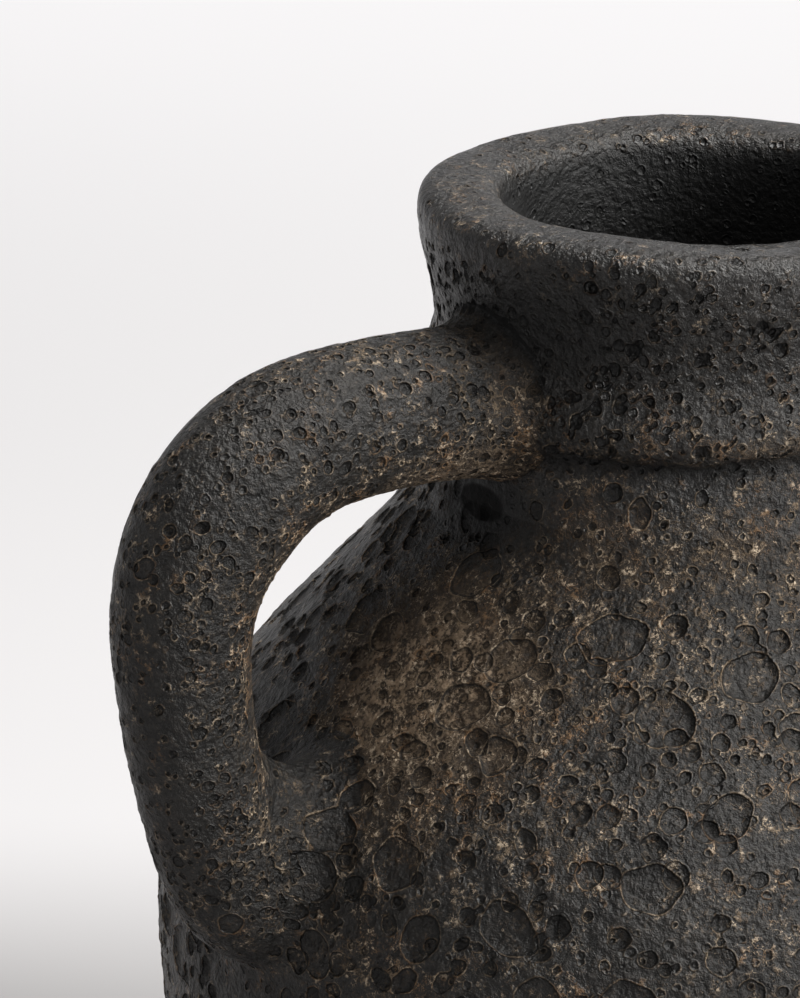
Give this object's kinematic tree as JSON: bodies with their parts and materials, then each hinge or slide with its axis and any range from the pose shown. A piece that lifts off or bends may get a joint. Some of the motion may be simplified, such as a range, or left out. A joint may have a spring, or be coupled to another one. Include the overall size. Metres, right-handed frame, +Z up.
{
  "type": "jug",
  "caption": "Round-bellied black clay jug with a short collared neck, thick open lip and a rod loop handle, for holding and pouring liquid or standing as a vase.",
  "frame": {"origin": "centre of the resting face under the foot, on the jug's axis", "axes": "+Z up the jug's axis to the mouth; the handle lies in the XZ plane towards -X; +Y is across the handle"},
  "size_m": [0.225, 0.2, 0.266],
  "materials": {
    "wall_clay": "matte, pitted",
    "neck_clay": "matte, finely pitted",
    "handle_clay": "matte, pitted"
  },
  "bodies": {
    "root": {"base_disc": "wall_clay", "lower_wall": "wall_clay", "belly_wall": "wall_clay", "shoulder": "wall_clay", "neck": "neck_clay", "collar": "neck_clay", "lip": "neck_clay", "handle": "handle_clay", "upper_wad": "handle_clay", "lower_wad": "handle_clay"}
  },
  "joints": []
}
